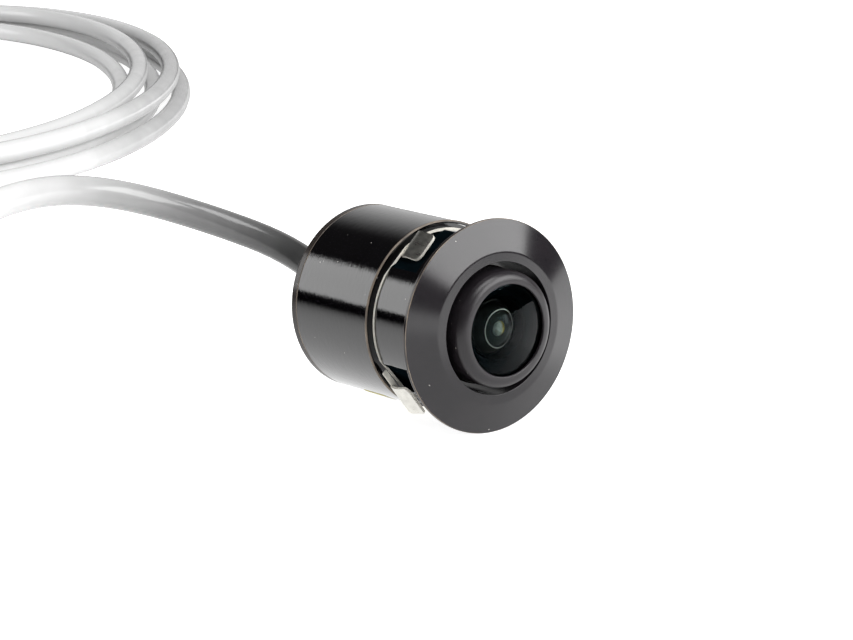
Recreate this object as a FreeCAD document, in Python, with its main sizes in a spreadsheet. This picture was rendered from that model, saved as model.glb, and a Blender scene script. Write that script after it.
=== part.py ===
"""Flush-mount reversing camera with its spring clip, electronics stack and coiled lead.

Millimetres. The optical axis lies along Y: the lens looks along -Y and the lead leaves along +Y.
The origin is on that axis at the flange's back face, where the face of the drilled panel lies,
and +Z is up. The part lies on a level surface on its flange's lowest edge and its coil.
"""
import FreeCAD, Part
import math
import os
import re
import Sketcher

SIZES = {
    # flange and neck
    "flange_overhang": 1.2, "rim_thickness": 0.35, "cone_rise": 1.12, "face_width": 0.93,
    "face_rise": 0.09, "recess_gap": 0.75, "lip_front": 0.9, "lip_thickness": 1.0,
    "neck_length": 7.05, "shoulder_height": 0.2, "bore_step": 1.35,
    "spigot_length": 3.95, "spigot_wall": 0.9, "pocket_length": 3.85, "pocket_depth": 0.6,
    # spring clip
    "sheet_thickness": 0.28, "clip_gap": 0.12, "flat_gap": 0.07, "clip_height": 0.95,
    "tab_width": 4.0, "tab_length": 2.55, "tab_corner": 0.7, "fold_gap": 0.02,
    "tab_angle": 113.7, "upper_splay": 1.0, "lower_splay": 24.0, "side_splay": 24.0,
    # rear housing
    "body_radius": 9.1, "body_gap": 0.18, "body_edge": 0.15,
    "clip_pocket_wall": 0.32, "clip_end_gap": 0.15, "thread_wall": 1.05, "thread_gap": 0.05,
    "body_wall": 0.9, "cap_thickness": 0.94, "cap_edge": 0.25, "parting_edge": 0.07,
    "cap_spigot_length": 0.77, "cap_wall": 1.0, "cap_hole_radius": 2.4, "slip_gap": 0.05,
    # lens
    "nose_front": -2.9, "nose_round": 0.62, "nose_wall": 1.22, "thread_step": 0.3,
    "glass_lip": 0.4, "glass_lip_bevel": 0.16, "front_lens_rim": 0.6,
    "front_lens_bulge": 15.0, "front_lens_vertex": -3.13, "front_lens_thickness": 0.93,
    "front_lens_hollow": 3.6, "front_lens_length": 2.68,
    "element_radius": 3.5, "stack_lip_radius": 3.0, "stack_lip_thickness": 0.4,
    "element_two_thickness": 1.6, "element_two_hollow": 3.4, "element_two_hollow_depth": 0.68,
    "element_two_bulge": 9.0, "front_spacer_thickness": 1.7, "stop_thickness": 0.2,
    "stop_radius": 0.6, "element_three_thickness": 1.8, "element_three_bulge": 9.0,
    "rear_spacer_thickness": 0.8, "element_four_thickness": 1.8, "element_four_bulge": 8.0,
    "spacer_wall": 1.0, "retainer_thickness": 1.1, "stack_gap": 0.03,
    # seals
    "seal_radius": 0.32, "seal_gap": 0.02, "seal_end_gap": 0.03, "gasket_thickness": 0.26,
    # electronics stack
    "board_gap": 0.3, "holder_gap": 0.15, "holder_front_gap": 0.1, "holder_wall": 0.9,
    "holder_base_thickness": 1.0, "web_setback": 0.25, "web_gap": 0.15, "web_thickness": 0.3,
    "web_hole_radius": 2.6,
    "cavity_gap": 0.25, "filter_side": 6.2, "filter_thickness": 0.3, "filter_gap": 0.05,
    "sensor_width": 5.6, "sensor_height": 4.8, "sensor_thickness": 0.6,
    "cover_glass_thickness": 0.2, "cover_glass_inset": 0.3, "board_thickness": 0.8,
    "board_spacing": 1.9, "board_spacer_wall": 0.9, "pin_side": 0.5, "pin_pitch": 1.27,
    "pin_count": 4, "pin_row_offset": 4.6, "processor_side": 5.0, "processor_thickness": 0.9,
    "crystal_length": 3.2, "crystal_width": 1.5, "crystal_thickness": 0.8,
    "crystal_offset": 5.0, "capacitor_length": 1.6, "capacitor_width": 0.8,
    "capacitor_offset": 4.0, "capacitor_gap": 0.4, "capacitor_count": 4, "screw_edge": 1.8,
    "screw_radius": 0.5, "screw_head_radius": 0.85, "screw_head_thickness": 0.4,
    "screw_length": 1.5, "screw_gap": 0.05,
    # rear seal, grommet and wires
    "rear_space": 1.7, "wire_space": 1.1, "compound_gap": 0.06, "lead_inset": 0.1,
    "grommet_collar": 0.8,
    "grommet_collar_thickness": 0.34, "grommet_lip": 0.5, "grommet_lip_thickness": 0.3,
    "grommet_squeeze": 0.05, "grommet_gap": 0.02, "wire_radius": 0.3, "wire_offset": 0.7,
    "wire_count": 4,
    # blank inspection sticker
    "sticker_offset": 3.67, "sticker_length": 3.1, "sticker_width": 6.0,
    "sticker_thickness": 0.04, "sticker_angle": 262.0, "sticker_gap": 0.005,
    # lead
    "lead_radius": 1.5, "coil_length": 200.0, "coil_width": 95.0, "coil_ring_width": 18.0,
    "coil_height": 13.8, "coil_x": 67.0, "coil_y": 226.0, "coil_heading": 36.0,
    # plug
    "plug_x": -47.0, "plug_y": 165.0, "plug_radius": 4.4, "relief_length": 12.0,
    "relief_wall": 0.65, "relief_root_wall": 1.75, "relief_overlap": 3.0, "grip_length": 14.0,
    "shell_step": 0.5, "shell_length": 8.0, "shell_wall": 1.0, "insert_thickness": 2.0,
    "contact_radius": 0.5, "contact_length": 6.5, "contact_circle": 1.6, "contact_count": 4,
    "plug_seal_radius": 0.4, "seal_groove_depth": 0.5, "seal_groove_width": 1.0,
    "seal_groove_offset": 1.0, "plug_round": 0.6,
}

doc = FreeCAD.newDocument("BackupCamera")
sheet = doc.addObject("Spreadsheet::Sheet", "Sizes")
for row, (alias, value) in enumerate(SIZES.items(), 1):
    sheet.set(f"A{row}", alias)
    sheet.set(f"B{row}", str(value))
    sheet.setAlias(f"B{row}", alias)
doc.recompute()

X, Y, Z = FreeCAD.Vector(1, 0, 0), FreeCAD.Vector(0, 1, 0), FreeCAD.Vector(0, 0, 1)
ALONG_Y = FreeCAD.Rotation(X, -90)     # turns a primitive's own +Z to +Y
SUBPARTS = []


def formula(words):
    """An expression in the sheet's aliases, as FreeCAD writes it."""
    return re.sub(r"[a-z]\w+", lambda m: "Sizes." + m[0] if m[0] in SIZES else m[0], words)


def size(words):
    """The value of such an expression."""
    return float(sheet.evalExpression(formula(words)))


def bind(thing, **values):
    """Bind properties to expressions; two underscores stand for the dots of a placement."""
    for name, words in values.items():
        thing.setExpression(name.replace("__", "."), formula(words))
    return thing


def subpart(thing, label):
    """Name an object as one finished sub-part."""
    thing.Label = label
    SUBPARTS.append(thing)
    return thing


# ---------------------------------------------------------------- turned pieces

def constrain(sketch, direction, index, words):
    """Tie one coordinate of a line's start to an expression, or to the axis where it is 0."""
    if words == "0":
        axis = -2 if direction == "DistanceX" else -1
        sketch.addConstraint(Sketcher.Constraint("PointOnObject", index, 1, axis))
        return
    number = sketch.addConstraint(Sketcher.Constraint(direction, -1, 1, index, 1, size(words)))
    sketch.setExpression(f"Constraints[{number}]", formula(words))


def turned(name, corners):
    """A body turned about Y from the corners (radius, station) of its half section."""
    body = doc.addObject("PartDesign::Body", name)
    plane = next(f for f in body.Origin.OriginFeatures if f.Role == "XY_Plane")
    sketch = body.newObject("Sketcher::SketchObject", name + "_section")
    sketch.AttachmentSupport = [(plane, "")]
    sketch.MapMode = "FlatFace"
    points = [FreeCAD.Vector(size(r), size(y), 0) for r, y in corners]
    count = len(points)
    for i in range(count):
        sketch.addGeometry(Part.LineSegment(points[i], points[(i + 1) % count]))
    for i in range(count):
        sketch.addConstraint(Sketcher.Constraint("Coincident", i, 2, (i + 1) % count, 1))
    for i, (radius, station) in enumerate(corners):
        constrain(sketch, "DistanceX", i, radius)
        constrain(sketch, "DistanceY", i, station)
    turn = body.newObject("PartDesign::Revolution", name + "_turn")
    turn.Profile = sketch
    turn.ReferenceAxis = (sketch, ["V_Axis"])
    turn.Angle = 360
    doc.recompute()
    return body


def round_edge(body, radius, station, amount):
    """Round the circular edge of that radius at that station of a turned body."""
    turn = body.Tip
    rims = [
        f"Edge{i}" for i, edge in enumerate(turn.Shape.Edges, 1)
        if isinstance(edge.Curve, Part.Circle) and abs(edge.Curve.Radius - size(radius)) < 1e-4
        and abs(edge.Curve.Center.y - size(station)) < 1e-4]
    fillet = body.newObject("PartDesign::Fillet", body.Name + "_round")
    fillet.Base = (turn, rims)
    bind(fillet, Radius=amount)
    body.Tip = fillet
    doc.recompute()
    return body


def rod(name, radius, start, length, x="0", z="0"):
    """A cylinder along Y."""
    thing = doc.addObject("Part::Cylinder", name)
    thing.Placement = FreeCAD.Placement(FreeCAD.Vector(0, 0, 0), ALONG_Y)
    return bind(thing, Radius=radius, Height=length, Placement__Base__x=x,
                Placement__Base__y=start, Placement__Base__z=z)


def block(name, width, depth, height, start, x="0", z="0"):
    """A box centred on x and z, from its start along +Y."""
    thing = doc.addObject("Part::Box", name)
    return bind(thing, Length=width, Width=depth, Height=height,
                Placement__Base__x=f"{x} - ({width}) / 2", Placement__Base__y=start,
                Placement__Base__z=f"{z} - ({height}) / 2")


def ball(name, radius, centre):
    """A sphere centred on the optical axis."""
    return bind(doc.addObject("Part::Sphere", name), Radius=radius, Placement__Base__y=centre)


def cut(name, base, tool):
    thing = doc.addObject("Part::Cut", name)
    thing.Base = base
    thing.Tool = tool
    return thing


def common(name, *shapes):
    thing = doc.addObject("Part::MultiCommon", name)
    thing.Shapes = list(shapes)
    return thing


def group(name, shapes):
    """Separate solids that share one node."""
    thing = doc.addObject("Part::Compound", name)
    thing.Links = list(shapes)
    return thing


def tab_prism(name, flat, start, length):
    """A three-sided prism along Y whose sides stand at that distance, one facing each clip tab."""
    thing = doc.addObject("Part::Prism", name)
    thing.Polygon = 3
    spin = FreeCAD.Rotation(Y, 60 - size("tab_angle"))
    thing.Placement = FreeCAD.Placement(FreeCAD.Vector(0, 0, 0), spin * ALONG_Y)
    return bind(thing, Circumradius=f"2 * ({flat})", Height=length, Placement__Base__y=start)


# ---------------------------------------------------------------- shared radii and stations

SPIGOT_RADIUS = "body_radius - thread_wall - thread_gap"
NECK_RADIUS = f"{SPIGOT_RADIUS} + shoulder_height"
SPIGOT_BORE = f"{SPIGOT_RADIUS} - spigot_wall"
POCKET_FLAT = f"{SPIGOT_RADIUS} - pocket_depth"
CLIP_RADIUS = f"{SPIGOT_RADIUS} + clip_gap + sheet_thickness"
CLIP_FLAT = f"{POCKET_FLAT} + flat_gap + sheet_thickness"
BODY_BORE = "body_radius - body_wall"
CAP_SPIGOT = f"{BODY_BORE} - slip_gap"
BOARD_RADIUS = f"{BODY_BORE} - board_gap"
HOLDER_TUBE = f"{SPIGOT_BORE} - holder_gap"
HOLDER_BORE = f"{HOLDER_TUBE} - holder_wall"
THREAD_RADIUS = f"{HOLDER_BORE} - slip_gap"
NECK_BORE = f"{THREAD_RADIUS} + thread_step"
NOSE_RADIUS = f"{NECK_BORE} - 2 * seal_radius - 2 * seal_gap"
GLASS_RADIUS = f"{NOSE_RADIUS} - nose_wall"
RECESS_RADIUS = f"{NOSE_RADIUS} + recess_gap"
FLANGE_RADIUS = "body_radius + flange_overhang"

CONE_FRONT = "-rim_thickness - cone_rise"
FACE_FRONT = f"{CONE_FRONT} - face_rise"
LIP_REAR = "lip_front + lip_thickness"
NECK_BORE_END = "neck_length + bore_step"
SPIGOT_END = "neck_length + spigot_length"
CLIP_POCKET_FLOOR = "neck_length + clip_height + clip_end_gap"
BODY_FRONT = "neck_length + body_gap"
GASKET_FRONT = f"{SPIGOT_END} + seal_gap"
HOLDER_BASE = f"{GASKET_FRONT} + gasket_thickness + seal_gap"
WEB_REAR = f"{HOLDER_BASE} - web_setback"
WEB_FRONT = f"{WEB_REAR} - web_thickness"
BARREL_END = f"{WEB_FRONT} - web_gap"
SENSOR_BOARD = f"{HOLDER_BASE} + holder_base_thickness"
BEHIND_SENSOR = f"{SENSOR_BOARD} + board_thickness"
MAIN_BOARD = f"{BEHIND_SENSOR} + board_spacing"
BEHIND_MAIN = f"{MAIN_BOARD} + board_thickness"
CAP_SPIGOT_FRONT = f"{BEHIND_MAIN} + rear_space"
BODY_REAR = f"{CAP_SPIGOT_FRONT} + cap_spigot_length"
CAP_REAR = f"{BODY_REAR} + cap_thickness"

# ---------------------------------------------------------------- front bezel and rear housing

LIP_RADIUS = f"{NOSE_RADIUS} + 2 * slip_gap"

bezel_blank = turned("bezel_blank", [
    (FLANGE_RADIUS, "-rim_thickness"), (f"{RECESS_RADIUS} + face_width", CONE_FRONT),
    (RECESS_RADIUS, FACE_FRONT), (RECESS_RADIUS, "lip_front"),
    (LIP_RADIUS, "lip_front"), (LIP_RADIUS, LIP_REAR), (NECK_BORE, LIP_REAR),
    (NECK_BORE, NECK_BORE_END), (SPIGOT_BORE, NECK_BORE_END), (SPIGOT_BORE, SPIGOT_END),
    (SPIGOT_RADIUS, SPIGOT_END), (SPIGOT_RADIUS, "neck_length"), (NECK_RADIUS, "neck_length"),
    (NECK_RADIUS, "0"), (FLANGE_RADIUS, "0")])
POCKET_FRONT = "neck_length - pocket_length"
POCKET_LENGTH = f"{CLIP_POCKET_FLOOR} - ({POCKET_FRONT})"
pocket_ring = rod("pocket_ring", f"{NECK_RADIUS} + sheet_thickness", POCKET_FRONT, POCKET_LENGTH)
pocket_core = tab_prism("pocket_core", POCKET_FLAT, POCKET_FRONT, POCKET_LENGTH)
subpart(cut("front_bezel", bezel_blank, cut("pocket_cutter", pocket_ring, pocket_core)),
        "front_bezel")

THREAD_BORE = f"{SPIGOT_RADIUS} + thread_gap"
THREAD_END = f"{SPIGOT_END} + seal_gap / 2"
CLIP_POCKET = "body_radius - clip_pocket_wall"
subpart(turned("rear_body", [
    ("body_radius", f"{BODY_FRONT} + body_edge"), ("body_radius - body_edge", BODY_FRONT),
    (CLIP_POCKET, BODY_FRONT), (CLIP_POCKET, CLIP_POCKET_FLOOR),
    (THREAD_BORE, CLIP_POCKET_FLOOR), (THREAD_BORE, THREAD_END), (BODY_BORE, THREAD_END),
    (BODY_BORE, BODY_REAR), ("body_radius - parting_edge", BODY_REAR),
    ("body_radius", f"{BODY_REAR} - parting_edge")]), "rear_body")

CAP_BORE = f"{CAP_SPIGOT} - cap_wall"
subpart(turned("rear_cap", [
    ("cap_hole_radius", CAP_REAR), ("cap_hole_radius", BODY_REAR), (CAP_BORE, BODY_REAR),
    (CAP_BORE, CAP_SPIGOT_FRONT), (CAP_SPIGOT, CAP_SPIGOT_FRONT), (CAP_SPIGOT, BODY_REAR),
    ("body_radius - parting_edge", BODY_REAR), ("body_radius", f"{BODY_REAR} + parting_edge"),
    ("body_radius", f"{CAP_REAR} - cap_edge"), ("body_radius - cap_edge", CAP_REAR)]),
    "rear_cap")

# ---------------------------------------------------------------- spring clip

clip_outer = common(
    "clip_outer", rod("clip_outer_rod", CLIP_RADIUS, "neck_length", "clip_height"),
    tab_prism("clip_outer_flats", CLIP_FLAT, "neck_length", "clip_height"))
clip_inner = common(
    "clip_inner",
    rod("clip_inner_rod", f"{CLIP_RADIUS} - sheet_thickness", "neck_length", "clip_height"),
    tab_prism("clip_inner_flats", f"{CLIP_FLAT} - sheet_thickness", "neck_length", "clip_height"))
subpart(cut("clip_ring", clip_outer, clip_inner), "clip_ring")

FOLD_RADIUS = f"{CLIP_FLAT} - sheet_thickness / 2"
FOLD_STATION = "neck_length - sheet_thickness / 2 - fold_gap"


def clip_tab(label, angle, splay):
    """One leaf of the clip, turned about its fold: it runs forward and leans outward by its splay.

    Its own frame has the fold along X, the leaf towards -Y and its outer face towards +Z.
    """
    leaf = doc.addObject("Part::Box", label + "_leaf")
    bind(leaf, Length="tab_width", Width="tab_length", Height="sheet_thickness",
         Placement__Base__x="-tab_width / 2", Placement__Base__y="-tab_length",
         Placement__Base__z="-sheet_thickness / 2")
    fold = doc.addObject("Part::Cylinder", label + "_fold")
    fold.Placement = FreeCAD.Placement(FreeCAD.Vector(0, 0, 0), FreeCAD.Rotation(Y, 90))
    bind(fold, Radius="sheet_thickness / 2", Height="tab_width",
         Placement__Base__x="-tab_width / 2")
    whole = doc.addObject("Part::MultiFuse", label + "_blank")
    whole.Shapes = [leaf, fold]
    doc.recompute()
    tip = -size("tab_length")
    rounded = doc.addObject("Part::Fillet", label)
    rounded.Base = whole
    rounded.Edges = [
        (i, size("tab_corner"), size("tab_corner")) for i, edge in enumerate(whole.Shape.Edges, 1)
        if abs(edge.tangentAt(edge.FirstParameter).z) > 0.99 and edge.CenterOfMass.y < tip + 1e-4]
    lean = FreeCAD.Rotation(X, -size(splay))
    around = FreeCAD.Rotation(Y, 90 - size(angle))
    rounded.Placement = FreeCAD.Placement(FreeCAD.Vector(0, 0, 0), around * lean)
    bind(rounded, Placement__Base__x=f"({FOLD_RADIUS}) * cos(({angle}) * 1 deg)",
         Placement__Base__y=FOLD_STATION,
         Placement__Base__z=f"({FOLD_RADIUS}) * sin(({angle}) * 1 deg)")
    return subpart(rounded, label)


clip_tab("clip_tab_upper", "tab_angle", "upper_splay")
clip_tab("clip_tab_lower", "tab_angle + 120", "lower_splay")
clip_tab("clip_tab_side", "tab_angle + 240", "side_splay")

# ---------------------------------------------------------------- lens

FRONT_LENS_RADIUS = f"{GLASS_RADIUS} + front_lens_rim"
SEAT_RADIUS = f"{FRONT_LENS_RADIUS} + slip_gap"
SEAT_FRONT = "nose_front + glass_lip"
THREAD_FRONT = f"{LIP_REAR} + 2 * seal_radius + 2 * seal_end_gap"
LENS_REAR = "front_lens_vertex + front_lens_length"
SEAT_REAR = f"{LENS_REAR} + stack_gap"
STACK_RADIUS = "element_radius + slip_gap"
STACK_FRONT = f"{SEAT_REAR} + stack_lip_thickness"

barrel = turned("lens_barrel", [
    (GLASS_RADIUS, "nose_front + glass_lip_bevel"),
    (f"{GLASS_RADIUS} + glass_lip_bevel", "nose_front"), (NOSE_RADIUS, "nose_front"),
    (NOSE_RADIUS, THREAD_FRONT), (THREAD_RADIUS, THREAD_FRONT), (THREAD_RADIUS, BARREL_END),
    (STACK_RADIUS, BARREL_END), (STACK_RADIUS, STACK_FRONT),
    ("stack_lip_radius", STACK_FRONT), ("stack_lip_radius", SEAT_REAR),
    (SEAT_RADIUS, SEAT_REAR), (SEAT_RADIUS, SEAT_FRONT), (GLASS_RADIUS, SEAT_FRONT)])
subpart(round_edge(barrel, NOSE_RADIUS, "nose_front", "nose_round"), "lens_barrel")


def bulged(name, radius, front, rear, front_curve=None, rear_curve=None):
    """A glass between two vertex stations, bulging to the given sphere on either side."""
    solids = [rod(name + "_edge", radius, front, f"{rear} - ({front})")]
    if front_curve:
        solids.append(ball(name + "_front", front_curve, f"{front} + {front_curve}"))
    if rear_curve:
        solids.append(ball(name + "_rear", rear_curve, f"{rear} - {rear_curve}"))
    return common(name + "_glass", *solids)


HOLLOW_VERTEX = "front_lens_vertex + front_lens_thickness"
subpart(cut(
    "front_lens",
    bulged("front_lens", FRONT_LENS_RADIUS, "front_lens_vertex", LENS_REAR, "front_lens_bulge"),
    ball("front_lens_hollow", "front_lens_hollow", f"{HOLLOW_VERTEX} + front_lens_hollow")),
    "front_lens")

TWO_FRONT = f"{STACK_FRONT} + stack_gap"
TWO_REAR = f"{TWO_FRONT} + element_two_thickness"
subpart(cut(
    "lens_element_two",
    bulged("lens_two", "element_radius", TWO_FRONT, TWO_REAR, "element_two_bulge"),
    ball("lens_two_hollow", "element_two_hollow",
         f"{TWO_REAR} - element_two_hollow_depth + element_two_hollow")),
    "lens_element_two")


def ring(label, bore, outside, front, thickness):
    """A flat ring on the optical axis."""
    rear = f"{front} + {thickness}"
    return subpart(turned(label, [(bore, front), (outside, front), (outside, rear), (bore, rear)]),
                   label)


SPACER_REAR = f"{TWO_REAR} + front_spacer_thickness"
ring("lens_spacer_front", "element_radius - spacer_wall", "element_radius", TWO_REAR,
     "front_spacer_thickness")
ring("aperture_stop", "stop_radius", "element_radius", SPACER_REAR, "stop_thickness")
THREE_FRONT = f"{SPACER_REAR} + stop_thickness"
THREE_REAR = f"{THREE_FRONT} + element_three_thickness"
subpart(bulged("lens_element_three", "element_radius", THREE_FRONT, THREE_REAR,
               "element_three_bulge", "element_three_bulge"), "lens_element_three")
ring("lens_spacer_rear", "element_radius - spacer_wall", "element_radius", THREE_REAR,
     "rear_spacer_thickness")
FOUR_FRONT = f"{THREE_REAR} + rear_spacer_thickness"
FOUR_REAR = f"{FOUR_FRONT} + element_four_thickness"
subpart(bulged("lens_element_four", "element_radius", FOUR_FRONT, FOUR_REAR,
               "element_four_bulge"), "lens_element_four")
ring("lens_retainer", "element_radius - spacer_wall", "element_radius", FOUR_REAR,
     "retainer_thickness")

# ---------------------------------------------------------------- seals

front_seal = doc.addObject("Part::Torus", "front_seal")
front_seal.Placement = FreeCAD.Placement(FreeCAD.Vector(0, 0, 0), ALONG_Y)
subpart(bind(front_seal, Radius1=f"{NOSE_RADIUS} + seal_gap + seal_radius", Radius2="seal_radius",
             Placement__Base__y=f"({LIP_REAR} + {THREAD_FRONT}) / 2"), "front_seal")
ring("body_gasket", f"{SPIGOT_BORE} + slip_gap", f"{BODY_BORE} - slip_gap", GASKET_FRONT,
     "gasket_thickness")

# ---------------------------------------------------------------- electronics stack

HOLDER_FRONT = f"{NECK_BORE_END} + holder_front_gap"
CAVITY_RADIUS = "sqrt(2) * filter_side / 2 + cavity_gap"
holder = turned("holder_blank", [
    (HOLDER_BORE, HOLDER_FRONT), (HOLDER_TUBE, HOLDER_FRONT), (HOLDER_TUBE, HOLDER_BASE),
    (BOARD_RADIUS, HOLDER_BASE), (BOARD_RADIUS, SENSOR_BOARD), (CAVITY_RADIUS, SENSOR_BOARD),
    (CAVITY_RADIUS, WEB_REAR), ("web_hole_radius", WEB_REAR), ("web_hole_radius", WEB_FRONT),
    (HOLDER_BORE, WEB_FRONT)])
SCREW_OFFSET = f"{BOARD_RADIUS} - screw_edge"


def screw_holes(name, start, length):
    """The two clearance holes for the holder's screws."""
    return group(name, [
        rod(f"{name}_{side}", "screw_radius + screw_gap", start, length,
            x=f"{sign} * ({SCREW_OFFSET})")
        for side, sign in (("left", -1), ("right", 1))])


SCREW_TIP = f"{SENSOR_BOARD} + board_thickness - screw_length"
HOLE_LENGTH = "screw_length + screw_gap"
subpart(cut("lens_holder", holder,
            screw_holes("holder_holes", f"{SCREW_TIP} - screw_gap", HOLE_LENGTH)), "lens_holder")

subpart(block("ir_filter", "filter_side", "filter_thickness", "filter_side",
              f"{WEB_REAR} + filter_gap"), "ir_filter")
SENSOR_FRONT = f"{SENSOR_BOARD} - sensor_thickness"
subpart(block("image_sensor", "sensor_width", "sensor_thickness", "sensor_height", SENSOR_FRONT),
        "image_sensor")
subpart(block("sensor_cover_glass", "sensor_width - 2 * cover_glass_inset", "cover_glass_thickness",
              "sensor_height - 2 * cover_glass_inset", f"{SENSOR_FRONT} - cover_glass_thickness"),
        "sensor_cover_glass")
sensor_disc = rod("sensor_disc", BOARD_RADIUS, SENSOR_BOARD, "board_thickness")
subpart(cut("sensor_board", sensor_disc,
            screw_holes("sensor_holes", f"{SCREW_TIP} - screw_gap", "screw_length * 2")),
        "sensor_board")

screws = []
for side, sign in (("left", -1), ("right", 1)):
    place = f"{sign} * ({SCREW_OFFSET})"
    shank = rod(f"shank_{side}", "screw_radius", SCREW_TIP, "screw_length", x=place)
    head = rod(f"head_{side}", "screw_head_radius", BEHIND_SENSOR, "screw_head_thickness", x=place)
    screw = doc.addObject("Part::MultiFuse", f"screw_{side}")
    screw.Shapes = [shank, head]
    screws.append(screw)
subpart(group("holder_screws", screws), "holder_screws")

ring("board_spacer", f"{BOARD_RADIUS} - board_spacer_wall", BOARD_RADIUS, BEHIND_SENSOR,
     "board_spacing")
subpart(rod("main_board", BOARD_RADIUS, MAIN_BOARD, "board_thickness"), "main_board")
ring("rear_spacer", CAP_BORE, CAP_SPIGOT, BEHIND_MAIN, f"{CAP_SPIGOT_FRONT} - ({BEHIND_MAIN})")
subpart(group("board_pins", [
    block(f"pin_{i}", "pin_side", "board_spacing", "pin_side", BEHIND_SENSOR,
          x=f"({i} - (pin_count - 1) / 2) * pin_pitch", z="pin_row_offset")
    for i in range(int(size("pin_count")))]), "board_pins")
subpart(block("image_processor", "processor_side", "processor_thickness", "processor_side",
              f"{MAIN_BOARD} - processor_thickness"), "image_processor")
subpart(block("crystal", "crystal_length", "crystal_thickness", "crystal_width",
              f"{MAIN_BOARD} - crystal_thickness", z="-crystal_offset"), "crystal")
subpart(group("capacitors", [
    block(f"capacitor_{i}", "capacitor_width", "capacitor_width", "capacitor_length", BEHIND_MAIN,
          x="-capacitor_offset",
          z=f"({i} - (capacitor_count - 1) / 2) * (capacitor_length + capacitor_gap)")
    for i in range(int(size("capacitor_count")))]), "capacitors")

# ---------------------------------------------------------------- rear seal, grommet and wires

COMPOUND_FRONT = f"{BEHIND_MAIN} + wire_space"
LEAD_START = f"{COMPOUND_FRONT} + lead_inset"
GRIP_RADIUS = "lead_radius - grommet_squeeze"
SHANK_RADIUS = "cap_hole_radius - grommet_gap"
COLLAR_RADIUS = "cap_hole_radius + grommet_collar"
COLLAR_REAR = f"{BODY_REAR} - grommet_gap"
COLLAR_FRONT = f"{COLLAR_REAR} - grommet_collar_thickness"
LIP_RIM = "cap_hole_radius + grommet_lip"
LIP_STATION = f"{CAP_REAR} + grommet_gap"
GROMMET_END = f"{LIP_STATION} + grommet_lip_thickness"
subpart(turned("cable_grommet", [
    (GRIP_RADIUS, COLLAR_FRONT), (COLLAR_RADIUS, COLLAR_FRONT), (COLLAR_RADIUS, COLLAR_REAR),
    (SHANK_RADIUS, COLLAR_REAR), (SHANK_RADIUS, LIP_STATION), (LIP_RIM, LIP_STATION),
    (LIP_RIM, GROMMET_END), (GRIP_RADIUS, GROMMET_END)]), "cable_grommet")
ring("sealing_compound", "lead_radius + slip_gap", f"{CAP_BORE} - slip_gap", COMPOUND_FRONT,
     f"{COLLAR_FRONT} - compound_gap - ({COMPOUND_FRONT})")

wires = []
for i in range(int(size("wire_count"))):
    turn = f"({i} + 0.5) * 360 deg / wire_count"
    wires.append(rod(f"wire_{i}", "wire_radius", BEHIND_MAIN, f"{LEAD_START} - ({BEHIND_MAIN})",
                     x=f"wire_offset * cos({turn})", z=f"wire_offset * sin({turn})"))
subpart(group("conductor_wires", wires), "conductor_wires")

# ---------------------------------------------------------------- blank inspection sticker

STICKER_FRONT = f"{BODY_FRONT} + sticker_offset"
STICKER_INSIDE = "body_radius + sticker_gap"
sticker_sleeve = cut(
    "sticker_sleeve",
    rod("sticker_outside", f"{STICKER_INSIDE} + sticker_thickness", STICKER_FRONT,
        "sticker_length"),
    rod("sticker_inside", STICKER_INSIDE, STICKER_FRONT, "sticker_length"))
window = doc.addObject("Part::Box", "sticker_window")
window.Placement = FreeCAD.Placement(
    FreeCAD.Vector(0, 0, 0), FreeCAD.Rotation(Y, -size("sticker_angle")))
bind(window, Length="body_radius * 2", Width="sticker_length", Height="sticker_width",
     Placement__Base__x="sticker_width / 2 * sin(sticker_angle * 1 deg)",
     Placement__Base__y=STICKER_FRONT,
     Placement__Base__z="-sticker_width / 2 * cos(sticker_angle * 1 deg)")
subpart(common("inspection_sticker", sticker_sleeve, window), "inspection_sticker")

# ---------------------------------------------------------------- lead

FLOOR = -size(FLANGE_RADIUS)
LEAD_LOW = FLOOR + size("lead_radius")
PLUG_HIGH = FLOOR + size("plug_radius")

# The lead springs up out of the grommet, arches over to the left and comes down to the floor,
# where it runs back to the near end of its coil.
LEAD_ROUTE = [
    (0, size(LEAD_START), 0), (0, 23.6, 0), (-0.3, 31.4, 2.9), (-5.2, 37.6, 5.5),
    (-13, 41.2, 8.4), (-21.5, 40.4, 10.1), (-30, 37, 10.4), (-39, 31.5, 9.8), (-49, 27.3, 7.6),
    (-60, 25.5, 3.6), (-70.5, 28, -1.2), (-77.8, 36, -5.8), (-80.5, 47.5, LEAD_LOW),
    (-80, 60, LEAD_LOW), (-76.5, 74, LEAD_LOW), (-70.5, 88, LEAD_LOW), (-62, 102, LEAD_LOW),
    (-51.5, 115, LEAD_LOW), (-39, 126.5, LEAD_LOW), (-25, 136.5, LEAD_LOW), (-10.5, 143, LEAD_LOW),
    (3.5, 145.8, LEAD_LOW), (13, 144, LEAD_LOW)]
TAIL_ROUTE = [
    (8.5, 199, LEAD_LOW), (3, 187.5, LEAD_LOW), (-6.5, 177, LEAD_LOW),
    (-20, 169.5, LEAD_LOW), (-35, 165, PLUG_HIGH),
    (size("plug_x - relief_overlap"), size("plug_y"), PLUG_HIGH)]


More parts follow.
